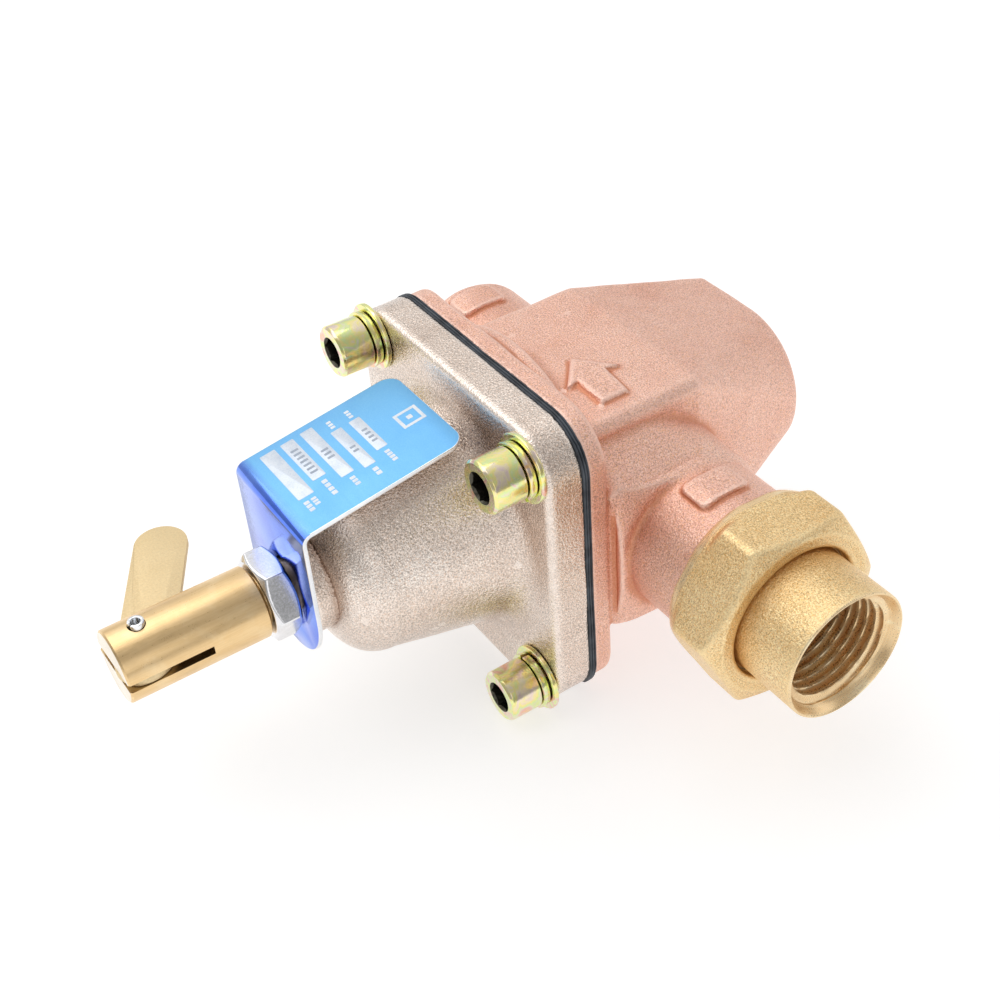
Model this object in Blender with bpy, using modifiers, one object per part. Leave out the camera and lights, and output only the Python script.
"""Pressure reducing valve with a union inlet and a fast-fill lever.

A diaphragm-operated reducing valve for 1/2 in pipe, modelled as the separate pieces
it comes apart into.  Frame: +X runs along the adjusting screw, from the lever end to
the closed end of the body; +Y is the flow direction, from the union to the outlet;
+Z is up.  The origin is the centre of the flat closed end, on the screw axis.
Stations below are measured from the port axis, which crosses the screw axis BODY_END
before the closed end; the parent empty moves the whole valve to its origin.
Dimensions and helper arguments are millimetres; objects are built in metres.

Run: blender --background --python part.py
"""

import math

import bmesh
import bpy
from mathutils import Matrix

MM = 0.001

# ---------------------------------------------------------------- shared dimensions, mm
# _R is a radius, _HALF a half width, _AF a width across flats, _SPAN a (start, end)
# pair of stations. Dimensions of a single piece stand at the head of its section.
OVERCUT = 1.0  # how far a cutter runs past the face it breaks through
FLANGE_HALF, FLANGE_CORNER = 29.6, 9.0
SCREW_SQUARE_HALF = 23.75
CORNERS = [
    (y_sign * SCREW_SQUARE_HALF, z_sign * SCREW_SQUARE_HALF)
    for y_sign, z_sign in ((-1, 1), (1, 1), (1, -1), (-1, -1))
]
BODY_END = 38.3
STEM_HOLE_R = 2.6  # in the diaphragm plates and their nut
PIN_X, PIN_R, PIN_HOLE_R = -88.9, 1.4, 1.55

# ---------------------------------------------------------------- scene
for old in list(bpy.data.objects):
    bpy.data.objects.remove(old, do_unlink=True)

PARTS = bpy.data.collections.new("pressure_reducing_valve")
CUTTERS = bpy.data.collections.new("cutters")
bpy.context.scene.collection.children.link(PARTS)
bpy.context.scene.collection.children.link(CUTTERS)

# Each frame turns local z to the named axis. Its columns are the local x, y and z axes.
FRAMES = {
    "X": Matrix(((0, 0, 1, 0), (1, 0, 0, 0), (0, 1, 0, 0), (0, 0, 0, 1))),
    "Y": Matrix(((1, 0, 0, 0), (0, 0, 1, 0), (0, -1, 0, 0), (0, 0, 0, 1))),
    "Z": Matrix.Identity(4),
}


# ---------------------------------------------------------------- materials
def material(name, rgb, metallic, roughness):
    made = bpy.data.materials.new(name)
    made.use_nodes = True
    made.diffuse_color = (*rgb, 1)
    shader = made.node_tree.nodes["Principled BSDF"]
    shader.inputs["Base Color"].default_value = (*rgb, 1)
    shader.inputs["Metallic"].default_value = metallic
    shader.inputs["Roughness"].default_value = roughness
    return made


BRONZE = material("cast_bronze", (0.72, 0.42, 0.27), metallic=1, roughness=0.42)
IRON = material("nickel_painted_iron", (0.56, 0.50, 0.44), metallic=0.6, roughness=0.45)
BRASS = material("brass", (0.78, 0.56, 0.25), metallic=1, roughness=0.3)
CAST_BRASS = material("cast_brass", (0.72, 0.50, 0.24), metallic=1, roughness=0.4)
STEEL = material("steel", (0.62, 0.61, 0.58), metallic=1, roughness=0.28)
ZINC = material("yellow_zinc_steel", (0.60, 0.50, 0.32), metallic=1, roughness=0.3)
SPRING = material("spring_steel", (0.35, 0.35, 0.36), metallic=1, roughness=0.35)
PLATE = material("blue_foil_aluminium", (0.25, 0.60, 0.95), metallic=0.7, roughness=0.3)
RUBBER = material("black_rubber", (0.03, 0.03, 0.032), metallic=0, roughness=0.7)
FIBRE = material("fibre", (0.30, 0.12, 0.07), metallic=0, roughness=0.8)


# ---------------------------------------------------------------- solids
def new_object(name, data, axis="Z", at=(0, 0, 0), paint=None):
    made = bpy.data.objects.new(name, data)
    made.matrix_world = Matrix.Translation([v * MM for v in at]) @ FRAMES[axis]
    if paint:
        data.materials.append(paint)
    PARTS.objects.link(made)
    return made


def lathe(name, profile, axis, paint=None, steps=32, at=(0, 0, 0)):
    """A turned solid. The profile is a closed loop of (station on the axis, radius)."""
    loop = list(profile)
    turning = sum(
        r0 * h1 - r1 * h0 for (h0, r0), (h1, r1) in zip(loop, loop[1:] + loop[:1])
    )
    if turning > 0:  # the outer side has to run down the axis
        loop.reverse()
    # A solid core starts and ends on the axis, with no edge along it.
    on_axis = [i for i, (_, radius) in enumerate(loop) if radius == 0]
    if on_axis:
        first = next(i for i in on_axis if loop[i - 1][1] == 0)
        loop = loop[first:] + loop[:first]
    edges = [(i, i + 1) for i in range(len(loop) - 1)]
    if not on_axis:
        edges.append((len(loop) - 1, 0))
    mesh = bpy.data.meshes.new(name)
    mesh.from_pydata([(radius * MM, 0, station * MM) for station, radius in loop], edges, [])
    made = new_object(name, mesh, axis, at, paint)
    turn = made.modifiers.new("Turn", "SCREW")
    turn.axis = "Z"
    turn.angle = 2 * math.pi
    turn.screw_offset = 0
    turn.steps = turn.render_steps = steps
    turn.use_merge_vertices = True
    turn.merge_threshold = 0.00001
    turn.use_smooth_shade = True
    return made


def slab(name, loops, axis, start, end, paint=None, at=(0, 0, 0)):
    """A flat outline, with holes, filled and given a thickness along the axis.
    Outlines are (y, z) for axis X, (x, z) for axis Y and (x, y) for axis Z."""
    curve = bpy.data.curves.new(name, "CURVE")
    curve.dimensions, curve.fill_mode = "2D", "BOTH"
    curve.extrude = (end - start) / 2 * MM
    flip = -1 if axis == "Y" else 1  # local y points down in the Y frame
    for loop in loops:
        spline = curve.splines.new("POLY")
        spline.points.add(len(loop) - 1)
        spline.use_cyclic_u = True
        for point, (across, up) in zip(spline.points, loop):
            point.co = (across * MM, flip * up * MM, 0, 1)
    guide = new_object(name + "_outline", curve)
    solid = guide.evaluated_get(bpy.context.evaluated_depsgraph_get())
    mesh = bpy.data.meshes.new_from_object(solid)
    bpy.data.objects.remove(guide, do_unlink=True)
    edit = bmesh.new()
    edit.from_mesh(mesh)
    bmesh.ops.translate(edit, vec=(0, 0, (start + end) / 2 * MM), verts=edit.verts)
    bmesh.ops.remove_doubles(edit, verts=edit.verts, dist=1e-7)
    bmesh.ops.recalc_face_normals(edit, faces=edit.faces)
    edit.to_mesh(mesh)
    edit.free()
    mesh.name = name
    return new_object(name, mesh, axis, at, paint)


def rod(name, axis, start, end, radius, steps, at=(0, 0, 0), end_radius=None):
    """A round bar, or a cone, between two stations of an axis."""
    mesh = bpy.data.meshes.new(name)
    edit = bmesh.new()
    bmesh.ops.create_cone(
        edit,
        cap_ends=True,
        segments=steps,
        radius1=radius * MM,
        radius2=(radius if end_radius is None else end_radius) * MM,
        depth=(end - start) * MM,
        matrix=Matrix.Translation((0, 0, (start + end) / 2 * MM)),
    )
    edit.to_mesh(mesh)
    edit.free()
    mesh.shade_smooth()
    mesh.set_sharp_from_angle(angle=math.radians(35))
    return new_object(name, mesh, axis, at)


def box(name, low, high):
    """A block between two opposite corners."""
    mesh = bpy.data.meshes.new(name)
    edit = bmesh.new()
    bmesh.ops.create_cube(edit, size=1)
    size = [(b - a) * MM for a, b in zip(low, high)]
    middle = [(a + b) / 2 * MM for a, b in zip(low, high)]
    bmesh.ops.scale(edit, vec=size, verts=edit.verts)
    bmesh.ops.translate(edit, vec=middle, verts=edit.verts)
    edit.to_mesh(mesh)
    edit.free()
    return new_object(name, mesh)


def loft(name, sections):
    """A skin through unlike closed sections of equal point count, capped at both ends."""
    mesh = bpy.data.meshes.new(name)
    edit = bmesh.new()
    rings = [[edit.verts.new([v * MM for v in p]) for p in section] for section in sections]
    for ring, after in zip(rings, rings[1:]):
        for i in range(len(ring)):
            j = (i + 1) % len(ring)
            edit.faces.new((ring[i], ring[j], after[j], after[i]))
    edit.faces.new(rings[0])
    edit.faces.new(rings[-1])
    bmesh.ops.recalc_face_normals(edit, faces=edit.faces)
    edit.to_mesh(mesh)
    edit.free()
    return new_object(name, mesh)


def coil(name, axis, start, end, radius, wire_r, turns, per_turn):
    """A compression spring as a round wire along a helix."""
    curve = bpy.data.curves.new(name, "CURVE")
    curve.dimensions = "3D"
    curve.bevel_depth, curve.bevel_resolution = wire_r * MM, 2
    curve.use_fill_caps = True
    spline = curve.splines.new("POLY")
    count = round(turns * per_turn)
    spline.points.add(count)
    for i, point in enumerate(spline.points):
        angle = 2 * math.pi * i / per_turn
        station = start + wire_r + (end - start - 2 * wire_r) * i / count
        x, y = radius * math.cos(angle), radius * math.sin(angle)
        point.co = (x * MM, y * MM, station * MM, 1)
    return new_object(name, curve, axis, paint=SPRING)


def combine(target, operation, *others):
    """Join to, cut from or intersect with the target, in order."""
    for other in others:
        step = target.modifiers.new(f"{operation.title()} {other.name}", "BOOLEAN")
        step.operation, step.object, step.solver = operation, other, "EXACT"
        PARTS.objects.unlink(other)
        CUTTERS.objects.link(other)
        other.hide_render, other.display_type = True, "WIRE"


# ---------------------------------------------------------------- outlines and profiles
def polar(radius, degrees, x=0.0, y=0.0):
    angle = math.radians(degrees)
    return (x + radius * math.cos(angle), y + radius * math.sin(angle))


def arc(x, y, radius, first, last, count):
    """count + 1 points on an arc, angles in degrees."""
    return [polar(radius, first + (last - first) * i / count, x, y) for i in range(count + 1)]


def circle(radius, count, x=0.0, y=0.0):
    return arc(x, y, radius, 0, 360, count)[:-1]


def band(outer, inner, first, last, count, inner_count):
    """A piece of a flat ring between two angles."""
    return arc(0, 0, outer, first, last, count) + arc(0, 0, inner, last, first, inner_count)


def split_ring(outer, inner, gap, phase, count):
    """A ring cut open by a gap in degrees, centred on the phase angle."""
    return band(outer, inner, phase + gap / 2, phase + 360 - gap / 2, count, count)


def rounded(x0, x1, y0, y1, radii, count):
    """A rectangle with four corner radii, in the order ++, -+, --, +-."""
    r0, r1, r2, r3 = radii
    return (
        arc(x1 - r0, y1 - r0, r0, 0, 90, count)
        + arc(x0 + r1, y1 - r1, r1, 90, 180, count)
        + arc(x0 + r2, y0 + r2, r2, 180, 270, count)
        + arc(x1 - r3, y0 + r3, r3, 270, 360, count)
    )


def square(half, corner):
    return rounded(-half, half, -half, half, (corner,) * 4, 5)


def hexagon(across_flats, phase):
    return [polar(across_flats / math.sqrt(3), phase + 60 * k) for k in range(6)]


def tube(start, end, inner, outer):
    """Lathe profile of a plain ring."""
    return [(start, inner), (start, outer), (end, outer), (end, inner)]


def o_ring(station, centre_r, wire_r):
    """Lathe profile of an O-ring, with an eight-sided section."""
    angles = [2 * math.pi * i / 8 for i in range(8)]
    return [(station + wire_r * math.sin(a), centre_r + wire_r * math.cos(a)) for a in angles]


# Below, every point list given to lathe() is (station, radius).

# ---------------------------------------------------------------- body casting
BODY_FLANGE_SPAN, BODY_FLANGE_HALF = (-20.0, -16.6), 29.4
BLOCK_TOP, BARREL_R = 23.0, 14.7
BLOCK_SIDES = (-22.0, 16.7, -19.0, BLOCK_TOP)
BLOCK_CORNERS = (3, 5, 5, 5)
# x, (y low, y high, z low, z high), corner radii
BLOCK_SECTIONS = [
    (-17.2, BLOCK_SIDES, BLOCK_CORNERS),
    (8.4, BLOCK_SIDES, BLOCK_CORNERS),
    (BODY_END, (-BARREL_R, 14.2, -BARREL_R, 14.3), (1.5, 14.2, BARREL_R - 0.1, 14.1)),
]
# y, (x low, x high, z low, z high), corner radii
HUB_SECTIONS = [
    (-12.0, (-17.3, 14.2, -16.5, 19.6), (20, 4, 4, 14)),
    (-22.0, (-17.3, 14.2, -16.5, 19.6), (20, 4, 4, 14)),
    (-29.6, (-17.3, 14.2, -15.3, 14.6), (14, 4, 4, 14)),
    (-31.3, (-15.6, 13.9, -13.9, 13.9), (13.8, 12, 12, 13.8)),
]
NECK_R, NECK_THREAD_R, NECK_END = 14.0, 13.8, -50.6
OUTLET_R, OUTLET_END = 14.3, 40.0
PAD_INNER_R = 12
ARROW_RAISE = 0.8
# x, y; the point faces +Y
ARROW = [
    (-5.4, -3.8), (-10.8, -10.4), (-8.4, -9.9), (-8.8, -17.3),
    (-3.2, -17.3), (-2.4, -9.9), (0.1, -10.4),
]

body = slab(
    "body", [square(BODY_FLANGE_HALF, FLANGE_CORNER)], "X", *BODY_FLANGE_SPAN, BRONZE
)
combine(
    body,
    "UNION",
    lathe(
        "dish",
        [(-18.4, 0), (-18.4, 29.2), (BODY_FLANGE_SPAN[1], 29.2), (-4.0, 16.4), (-4.0, 0)],
        "X",
        steps=36,
    ),
    loft(
        "block",
        [
            [(x, y, z) for y, z in rounded(*sides, radii, 5)]
            for x, sides, radii in BLOCK_SECTIONS
        ],
    ),
    loft(
        "hub",
        [
            [(x, y, z) for x, z in rounded(*sides, radii, 6)]
            for y, sides, radii in HUB_SECTIONS
        ],
    ),
    rod("neck", "Y", -44.2, -26.0, NECK_R, steps=36),
    rod("neck_thread", "Y", NECK_END, -43.0, NECK_THREAD_R, steps=36),
    rod("outlet", "Y", 4.0, OUTLET_END, OUTLET_R, steps=36),
    # raised pads on top of the two pipe ends
    slab("neck_pad", [band(14.9, PAD_INNER_R, 111.3, 51.7, 6, 6)], "Y", -39.0, -29.6),
    slab("outlet_pad", [band(15.2, PAD_INNER_R, 113.3, 56.7, 6, 6)], "Y", 12.0, 35.0),
    slab("arrow", [ARROW], "Z", 20.0, BLOCK_TOP + ARROW_RAISE),
)

# The inlet passage slants from the blind end of the inlet port to the poppet chamber.
PASSAGE_FROM, PASSAGE_TO, PASSAGE_R = (5.0, -18.5), (21.0, -9.5), 4.2  # x, y


def slanted_passage():
    """A rod of unit length, turned from Z into the XY plane and stretched to fit."""
    made = rod("inlet_passage", "Z", 0, 1, PASSAGE_R, steps=16)
    run_x, run_y = (b - a for a, b in zip(PASSAGE_FROM, PASSAGE_TO))
    made.matrix_world = (
        Matrix.Translation((PASSAGE_FROM[0] * MM, PASSAGE_FROM[1] * MM, 0))
        @ Matrix.Rotation(math.atan2(run_y, run_x), 4, "Z")
        @ Matrix.Rotation(math.pi / 2, 4, "Y")
        @ Matrix.Diagonal((1, 1, math.hypot(run_x, run_y), 1))
    )
    return made


CHAMBER = [
    (-21.0, 0), (-21.0, 20.0), (-16.4, 20.0), (-14.6, 18.0),
    (-14.6, 10.0), (3.5, 10.0), (3.5, 0),
]
combine(
    body,
    "DIFFERENCE",
    lathe("chamber", CHAMBER, "X", steps=28),
    rod("seat_hole", "X", 2.5, 11.5, radius=8.15, steps=26),
    rod("poppet_chamber", "X", 10.5, BODY_END + OVERCUT, radius=11.0, steps=28),
    rod("outlet_port", "Y", 14.0, OUTLET_END + OVERCUT, radius=9.5, steps=30, end_radius=10.4),
    rod("outlet_window", "Y", 2.0, 16.0, radius=5.0, steps=20, at=(-2.2, 0, 0)),
    rod("inlet_port", "Y", NECK_END - OVERCUT, -14.0, radius=9.0, steps=28),
    slanted_passage(),
)


def corner_holes(name, start, end, radius):
    return [
        rod(f"{name}_{k}", "X", start, end, radius, steps=12, at=(0, y, z))
        for k, (y, z) in enumerate(CORNERS, 1)
    ]


combine(body, "DIFFERENCE", *corner_holes("tapped", -21.0, -14.0, radius=3.2))

# ---------------------------------------------------------------- bonnet
BONNET_FLANGE_SPAN = (-28.45, -21.9)
BOSS_R, BOSS_END, BOSS_CHAMFER = 9.5, -62.1, 0.5
DOME_END, DOME_CORNER, DOME_R = -58.2, 8.0, 17.4
BELL_R, BELL_END = 21.0, -31.0
FOOT_R, FOOT_END = BELL_R + 2.4, -27.0
SCREW_CLEARANCE_R = 3.5

bonnet = slab(
    "bonnet", [square(FLANGE_HALF, FLANGE_CORNER)], "X", *BONNET_FLANGE_SPAN, IRON
)
bell_profile = [
    (BOSS_END, 0),
    (BOSS_END, BOSS_R - BOSS_CHAMFER),
    (BOSS_END + BOSS_CHAMFER, BOSS_R),
    (DOME_END, BOSS_R),
    *arc(DOME_END + DOME_CORNER, DOME_R - DOME_CORNER, DOME_CORNER, 175, 90, 5),
    (BELL_END, BELL_R),
    (-29.4, BELL_R + 0.7),
    (-28.3, FOOT_R),
    (FOOT_END, FOOT_R),
    (FOOT_END, 0),
]
combine(bonnet, "UNION", lathe("bell", bell_profile, "X", steps=40))
SPRING_CASE = [
    (-64.0, 0), (-64.0, 4.9), (-54.8, 4.9), (-54.8, 11.0), (-52.6, 13.4),
    (-33.0, 16.6), (-28.0, 18.2), (-21.0, 19.6), (-21.0, 0),
]
combine(
    bonnet,
    "DIFFERENCE",
    lathe("spring_case", SPRING_CASE, "X", steps=28),
    *corner_holes("clearance", -30.0, -20.0, SCREW_CLEARANCE_R),
)

# ---------------------------------------------------------------- diaphragm, plates and stem
DIAPHRAGM_SPAN, DIAPHRAGM_HALF = (-21.75, -20.15), 30.0
diaphragm_holes = [circle(SCREW_CLEARANCE_R, 12, y, z) for y, z in CORNERS] + [circle(2.75, 12)]
slab(
    "diaphragm",
    [square(DIAPHRAGM_HALF, FLANGE_CORNER + 0.4)] + diaphragm_holes,
    "X",
    *DIAPHRAGM_SPAN,
    RUBBER,
)
lathe(
    "diaphragm_plate_upper",
    [
        (-21.95, STEM_HOLE_R), (-21.95, 15.0), (-22.6, 15.6), (-24.6, 15.6), (-24.6, 14.6),
        (-23.6, 14.2), (-23.6, 8.6), (-26.4, 8.0), (-26.4, STEM_HOLE_R),
    ],
    "X", ZINC, steps=24,
)
lathe(
    "diaphragm_plate_lower",
    [
        (-19.95, STEM_HOLE_R), (-19.95, 12.0), (-19.0, 12.0),
        (-18.4, 11.2), (-18.4, STEM_HOLE_R),
    ],
    "X", STEEL, steps=24,
)
slab("diaphragm_nut", [hexagon(8.0, 30), circle(STEM_HOLE_R, 12)], "X", -29.4, -26.6, ZINC)
lathe(
    "valve_stem",
    [
        (-30.5, 0), (-30.5, 2.0), (-30.1, 2.4), (-18.2, 2.4), (-18.2, 4.0),
        (-15.4, 4.0), (-14.6, 2.4), (11.2, 2.4), (11.6, 2.0), (11.6, 0),
    ],
    "X", BRASS, steps=16,
)

# ---------------------------------------------------------------- seat and poppet
SEAT_GROOVE, SEAT_R = (6.4, 8.1), 8.0
lathe(
    "seat_ring",
    [
        (3.8, 4.5), (3.8, 7.6), (4.3, SEAT_R), (SEAT_GROOVE[0], SEAT_R),
        (SEAT_GROOVE[0], 6.9), (SEAT_GROOVE[1], 6.9), (SEAT_GROOVE[1], SEAT_R),
        (10.8, SEAT_R), (10.8, 9.6), (12.1, 9.6), (12.1, 5.9), (12.8, 5.4), (12.8, 4.5),
    ],
    "X", BRASS, steps=24,
)
lathe("seat_oring", o_ring(sum(SEAT_GROOVE) / 2, 7.52, 0.55), "X", RUBBER, steps=20)
lathe(
    "disc_holder",
    [
        (13.2, 6.1), (13.2, 7.0), (16.6, 7.0), (17.1, 6.5), (17.1, 3.0), (31.0, 3.0),
        (31.5, 2.5), (31.5, 0), (18.6, 0), (18.6, 1.7), (15.3, 1.7), (15.3, 6.1),
    ],
    "X", BRASS, steps=20,
)
lathe("seat_disc", tube(13.0, 15.1, inner=1.75, outer=5.9), "X", RUBBER, steps=20)
lathe(
    "disc_screw",
    [
        (11.8, 0), (11.8, 2.3), (12.0, 2.6), (12.85, 2.6),
        (12.85, 1.5), (18.3, 1.5), (18.3, 0),
    ],
    "X", STEEL, steps=12,
)
coil("valve_spring", "X", 17.3, 28.8, radius=4.9, wire_r=0.55, turns=4.5, per_turn=9)

# ---------------------------------------------------------------- bottom plug
PLUG_R, PLUG_GROOVE, PLUG_CHAMFER = 10.8, (33.4, 35.0), 0.5
SPANNER_HOLE_R, SPANNER_HOLE_Y = 1.6, 6.4
plug = lathe(
    "bottom_plug",
    [
        (29.0, 3.25), (29.0, 10.2), (29.6, PLUG_R), (PLUG_GROOVE[0], PLUG_R),
        (PLUG_GROOVE[0], 9.7), (PLUG_GROOVE[1], 9.7), (PLUG_GROOVE[1], PLUG_R),
        (BODY_END - PLUG_CHAMFER, PLUG_R), (BODY_END, PLUG_R - PLUG_CHAMFER),
        (BODY_END, 0), (34.4, 0), (34.4, 3.25),
    ],
    "X", BRASS, steps=28,
)
for side in (-1, 1):
    spanner_hole = slab(
        f"spanner_hole_{side}",
        [circle(SPANNER_HOLE_R, 12)],
        "X",
        35.6,
        39.5,
        at=(0, SPANNER_HOLE_Y * side, 0),
    )
    combine(plug, "DIFFERENCE", spanner_hole)
lathe("plug_oring", o_ring(sum(PLUG_GROOVE) / 2, 10.34, 0.55), "X", RUBBER, steps=24)

# ---------------------------------------------------------------- range spring and button
lathe(
    "spring_button",
    [
        (-50.0, 1.9), (-50.0, 9.6), (-49.2, 10.6), (-46.8, 10.6),
        (-46.8, 8.2), (-45.2, 7.8), (-45.2, 1.9),
    ],
    "X", ZINC, steps=20,
)
coil("range_spring", "X", -46.6, -23.8, radius=10.4, wire_r=1.3, turns=5, per_turn=11)

# ---------------------------------------------------------------- adjusting screw, 3/8-16 UNC
HEAD_R, HEAD_TIP, HEAD_SHOULDER = 6.5, -94.3, -68.8
HEAD_TIP_CHAMFER, HEAD_SHOULDER_CHAMFER = 0.5, 0.4
SHANK_R, SHANK_END, SHANK_CHAMFER = 4.6, -50.3, 0.6
SLOT_HALF, SLOT_FLOOR = 0.8, -79.3
CUTTER_REACH = 8  # clears the screw head on both sides
PIN_HALF_LENGTH = 7.3

screw = lathe(
    "adjusting_screw",
    [
        (HEAD_TIP, 0),
        (HEAD_TIP, HEAD_R - HEAD_TIP_CHAMFER),
        (HEAD_TIP + HEAD_TIP_CHAMFER, HEAD_R),
        (HEAD_SHOULDER - HEAD_SHOULDER_CHAMFER, HEAD_R),
        (HEAD_SHOULDER, HEAD_R - HEAD_SHOULDER_CHAMFER),
        (HEAD_SHOULDER, SHANK_R),
        (SHANK_END - SHANK_CHAMFER, SHANK_R),
        (SHANK_END, SHANK_R - SHANK_CHAMFER),
        (SHANK_END, 0),
    ],
    "X",
    BRASS,
)
combine(
    screw,
    "DIFFERENCE",
    rod("plunger_bore", "X", -84.5, SHANK_END + OVERCUT, radius=1.8, steps=16),
    box(
        "lever_slot",
        (HEAD_TIP - OVERCUT, -CUTTER_REACH, -SLOT_HALF),
        (SLOT_FLOOR, CUTTER_REACH, SLOT_HALF),
    ),
    rod("pin_hole", "Z", -CUTTER_REACH, CUTTER_REACH, PIN_HOLE_R, steps=16, at=(PIN_X, 0, 0)),
)
slab(
    "roll_pin",
    [split_ring(PIN_R, 0.75, gap=34, phase=190, count=14)],
    "Z",
    -PIN_HALF_LENGTH,
    PIN_HALF_LENGTH,
    STEEL,
    at=(PIN_X, 0, 0),
)

# ---------------------------------------------------------------- lock nut
NUT_AF, NUT_START, NUT_END = 14.29, -68.4, -63.5
nut = slab("lock_nut", [hexagon(NUT_AF, 0)], "X", NUT_START, NUT_END, BRASS)
# The crown is a double cone that takes the hexagon corners off.
nut_crown = [
    (NUT_START - 1, 0), (NUT_START - 1, 4.6), (NUT_START + 1.1, 8.6),
    (NUT_END - 1.1, 8.6), (NUT_END + 1, 4.6), (NUT_END + 1, 0),
]
combine(nut, "INTERSECT", lathe("nut_crown", nut_crown, "X", steps=30))
nut_bore = rod("nut_bore", "X", NUT_START - OVERCUT, NUT_END + OVERCUT, radius=4.85, steps=20)
combine(nut, "DIFFERENCE", nut_bore)

# ---------------------------------------------------------------- fast-fill plunger and lever
PLUNGER_R = 1.5
# Angles in degrees: at rest the arm leans from +X towards +Y.
LEVER_ANGLE, LEVER_LENGTH, LEVER_HALF, LEVER_THICK = 60.0, 31.0, 4.75, 1.3
CAM_LOW, CAM_HIGH, LEVER_TRAVEL = 4.3, 6.8, 120.0
CAM_START, NOTCH_ANGLE = -60, 33
CAM_STEPS, BLEND_STEPS = 12, 8

lathe(
    "fast_fill_plunger",
    [
        (-84.3, 0), (-84.3, 1.2), (-84.0, PLUNGER_R),
        (-31.8, PLUNGER_R), (-31.5, 1.2), (-31.5, 0),
    ],
    "X", STEEL, steps=12,
)


def lever_outline():
    """The arm with its round end, and the cam that grows round the pin.
    Angles are first measured from the arm; the outline is turned to its rest angle."""
    points = arc(LEVER_LENGTH - LEVER_HALF, 0, LEVER_HALF, 90, -90, 12)
    points.append((LEVER_HALF / math.tan(math.radians(NOTCH_ANGLE)), -LEVER_HALF))
    points += [polar(CAM_LOW, angle) for angle in (-38, -46, -53)]
    for i in range(CAM_STEPS + 1):
        share = i / CAM_STEPS
        radius = CAM_LOW + (CAM_HIGH - CAM_LOW) * share
        points.append(polar(radius, CAM_START - LEVER_TRAVEL * share))
    # Smooth blend from the high point of the cam to the edge of the arm.
    for i in range(1, BLEND_STEPS):
        share = i / BLEND_STEPS
        radius = CAM_HIGH + (LEVER_HALF - CAM_HIGH) * (3 * share**2 - 2 * share**3)
        points.append(polar(radius, CAM_START - LEVER_TRAVEL - 90 * share))
    points.append((0, LEVER_HALF))
    cos, sin = polar(1, LEVER_ANGLE)
    return [(cos * x - sin * y, sin * x + cos * y) for x, y in points]


slab(
    "fast_fill_lever",
    [lever_outline(), circle(PIN_HOLE_R, 16)],
    "Z",
    -LEVER_THICK / 2,
    LEVER_THICK / 2,
    BRASS,
    at=(PIN_X, 0, 0),
)

# ---------------------------------------------------------------- name plate
# A sheet with an upright leg at PLATE_LEG, bent over to a top that rises towards +X.
PLATE_THICK, PLATE_HALF, PLATE_LEG, PLATE_FAR = 0.8, 11.8, -62.8, -31.7
PLATE_TILT = 8.7  # degrees
LEG_BOTTOM, LEG_TOP, BEND_R = -13.0, 17.1, 1.6
PLATE_CORNER = 3
BLANK_HALF = 14  # the trimming shapes are wider than the sheet


def plate_path():
    """Centre line (x, z) of the bent sheet, from the bottom of the leg to the far end."""
    path = [(PLATE_LEG, LEG_BOTTOM), (PLATE_LEG, LEG_TOP)]
    path += arc(PLATE_LEG + BEND_R, LEG_TOP, BEND_R, 180, 90 + PLATE_TILT, 6)[1:]
    x, z = path[-1]
    rise = (PLATE_FAR - x) * math.tan(math.radians(PLATE_TILT))
    return path + [(PLATE_FAR, z + rise)]


def thickened(path, half):
    """The outline of a sheet of constant thickness about a path."""
    left, right = [], []
    for i, (x, z) in enumerate(path):
        ways = []  # unit directions of the segments that meet here
        for a, b in ((i - 1, i), (i, i + 1)):
            if a >= 0 and b < len(path):
                dx, dz = path[b][0] - path[a][0], path[b][1] - path[a][1]
                size = math.hypot(dx, dz)
                ways.append((dx / size, dz / size))
        way_x, way_z = sum(w[0] for w in ways), sum(w[1] for w in ways)
        size = math.hypot(way_x, way_z)
        off_x, off_z = -way_z / size * half, way_x / size * half
        left.append((x + off_x, z + off_z))
        right.append((x - off_x, z - off_z))
    return left + right[::-1]


plate = slab(
    "name_plate",
    [thickened(plate_path(), PLATE_THICK / 2)],
    "Y",
    -PLATE_HALF,
    PLATE_HALF,
    PLATE,
)
# y, z: rounds the bottom of the leg
leg_outline = arc(0, 0, PLATE_HALF, 180, 360, 16) + [
    (BLANK_HALF, 0.4), (BLANK_HALF, 30), (-BLANK_HALF, 30), (-BLANK_HALF, 0.4),
]
# x, y: rounds the far corners of the top
edge_x, corner_x = PLATE_FAR - 4, PLATE_FAR - 3.2
corner_y = PLATE_HALF - PLATE_CORNER
top_outline = [
    (-70, -BLANK_HALF),
    (edge_x, -BLANK_HALF),
    (edge_x, -PLATE_HALF),
    *arc(corner_x, -corner_y, PLATE_CORNER, -90, 0, 4),
    *arc(corner_x, corner_y, PLATE_CORNER, 0, 90, 4),
    (edge_x, PLATE_HALF),
    (edge_x, BLANK_HALF),
    (-70, BLANK_HALF),
]
combine(
    plate,
    "INTERSECT",
    slab("leg_shape", [leg_outline], "X", -66, -24),
    slab("top_shape", [top_outline], "Z", -20, 32),
)
combine(plate, "DIFFERENCE", rod("plate_hole", "X", -70, -55, radius=4.95, steps=20))

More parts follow.
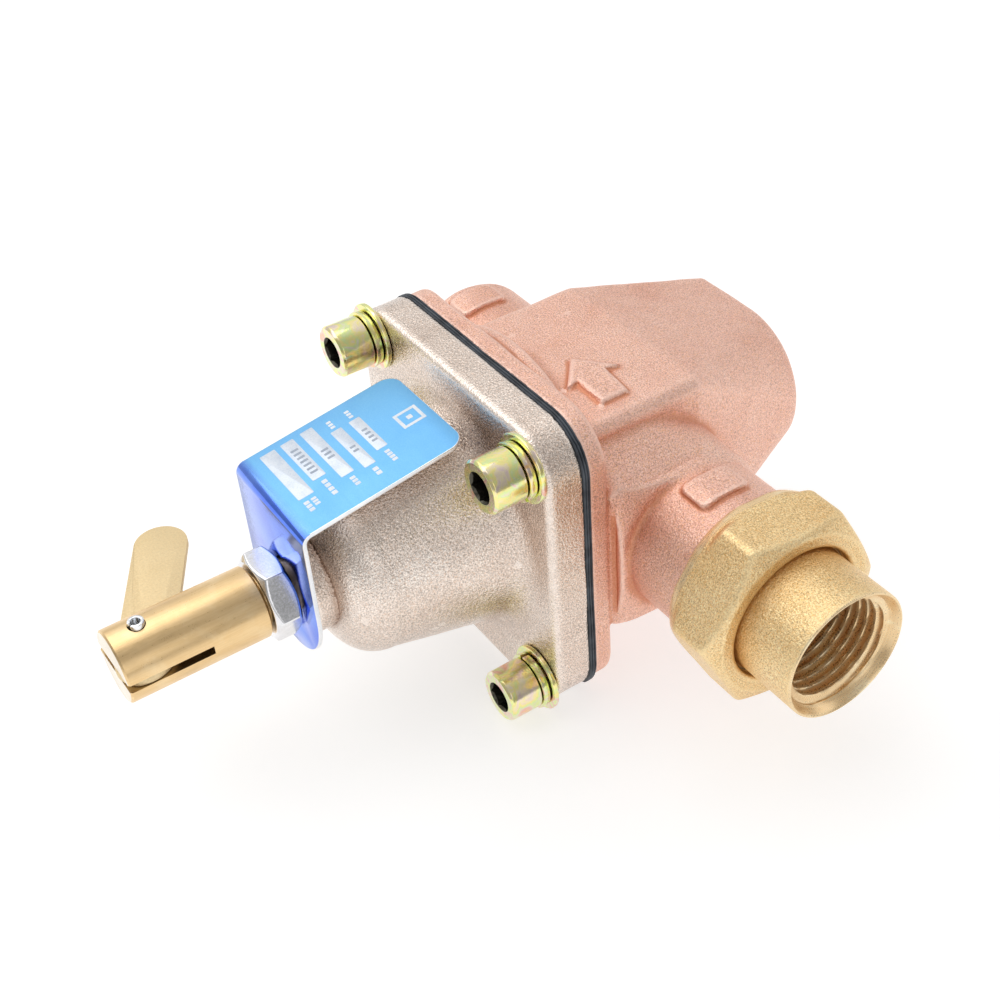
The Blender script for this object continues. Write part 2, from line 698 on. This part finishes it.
# ---------------------------------------------------------------- flange screws and washers
# 1/4 in socket head screws
CAP_R, CAP_START, CAP_END, CAP_CHAMFER = 4.75, -37.2, -31.2, 0.6
CAP_KEY_AF, CAP_KEY_DEPTH = 4.76, 3
CAP_SHANK_R, CAP_TIP = 3.0, -17.0
CAP_PROFILE = [
    (CAP_START, 0), (CAP_START, CAP_R - CAP_CHAMFER), (CAP_START + CAP_CHAMFER, CAP_R),
    (CAP_END, CAP_R), (CAP_END, CAP_SHANK_R), (CAP_TIP - 0.5, CAP_SHANK_R),
    (CAP_TIP, CAP_SHANK_R - 0.5), (CAP_TIP, 0),
]
for k, (y, z) in enumerate(CORNERS, 1):
    at = (0, y, z)
    cap = lathe(f"flange_screw_{k}", CAP_PROFILE, "X", ZINC, steps=16, at=at)
    key_span = (CAP_START - OVERCUT, CAP_START + CAP_KEY_DEPTH)
    key = slab(f"key_{k}", [hexagon(CAP_KEY_AF, 15)], "X", *key_span, at=at)
    combine(cap, "DIFFERENCE", key)
    lock_ring = split_ring(5.2, 3.35, gap=8, phase=150 + 70 * k, count=16)
    slab(f"lock_washer_{k}", [lock_ring], "X", -31.0, -29.6, ZINC, at=at)
    flat_ring = [circle(6.15, 20), circle(3.4, 12)]
    slab(f"flat_washer_{k}", flat_ring, "X", -29.45, -28.6, ZINC, at=at)

# ---------------------------------------------------------------- inlet strainer and check valve
lathe(
    "strainer_screen",
    [
        (-49.6, 7.4), (-49.6, 8.8), (-48.8, 8.8), (-48.8, 7.9), (-34.6, 7.1),
        (-34.2, 6.6), (-34.2, 0), (-34.8, 0), (-34.8, 6.5),
    ],
    "Y", STEEL, steps=20,
)
lathe(
    "check_seat",
    [(-32.6, 4.6), (-32.6, 8.8), (-29.8, 8.8), (-29.8, 6.2), (-29.4, 5.8), (-29.4, 4.6)],
    "Y", BRASS, steps=20,
)
lathe(
    "check_poppet",
    [
        (-29.2, 0), (-29.2, 6.4), (-28.6, 6.8), (-27.2, 6.8),
        (-27.2, 1.6), (-19.4, 1.6), (-19.0, 1.2), (-19.0, 0),
    ],
    "Y", BRASS, steps=20,
)
coil("check_spring", "Y", -27.0, -22.7, radius=3.0, wire_r=0.4, turns=3.5, per_turn=8)
windows = [band(7.2, 4.0, turn + 14, turn + 106, 5, 3) for turn in (0, 120, 240)]
slab("check_retainer", [circle(8.8, 24), circle(1.9, 12)] + windows, "Y", -22.5, -20.7, BRASS)

# ---------------------------------------------------------------- union
UNION_AF, UNION_START, UNION_HEX_END, UNION_END = 32.04, -56.9, -47.1, -44.6
UNION_BORE_R, UNION_LIP_R, UNION_LIP_Y = 14.25, 12.4, -54.95
TAIL_R, TAIL_END, TAIL_CHAMFER = 11.9, -68.7, 0.4

lathe("union_gasket", tube(-52.2, -50.8, inner=9.6, outer=13.2), "Y", FIBRE, steps=24)
lathe(
    "union_tailpiece",
    [
        (-52.4, 8.6), (-52.4, 13.4), (-54.7, 13.4), (-54.7, TAIL_R),
        (TAIL_END + TAIL_CHAMFER, TAIL_R), (TAIL_END, TAIL_R - TAIL_CHAMFER),
        (TAIL_END, 11.0), (TAIL_END + 0.8, 10.5), (-56.0, 9.9), (-56.0, 8.6),
    ],
    "Y",
    BRASS,
)
union_nut = slab(
    "union_nut", [hexagon(UNION_AF, -3)], "Y", UNION_START, UNION_END, CAST_BRASS
)
# Takes the hexagon corners off and turns the collar at the body end round.
union_crown = [
    (UNION_START - 1, 0), (UNION_START - 1, 14.6), (UNION_START + 1.9, 18.9),
    (UNION_HEX_END - 1.2, 18.9), (UNION_HEX_END, 17.2), (UNION_END - 0.6, 16.6),
    (UNION_END + 1, 15.2), (UNION_END + 1, 0),
]
combine(union_nut, "INTERSECT", lathe("union_crown", union_crown, "Y", steps=40))
bore_start, bore_end = UNION_START - 2 * OVERCUT, UNION_END + 2 * OVERCUT
union_bore = [
    (bore_start, 0), (bore_start, UNION_LIP_R), (UNION_LIP_Y, UNION_LIP_R),
    (UNION_LIP_Y, UNION_BORE_R), (bore_end, UNION_BORE_R), (bore_end, 0),
]
combine(union_nut, "DIFFERENCE", lathe("union_bore", union_bore, "Y", steps=36))

# ---------------------------------------------------------------- origin
valve_origin = bpy.data.objects.new("valve_origin", None)
valve_origin.location = (-BODY_END * MM, 0, 0)
bpy.context.scene.collection.objects.link(valve_origin)
for group in (PARTS, CUTTERS):
    for piece in group.objects:
        piece.parent = valve_origin
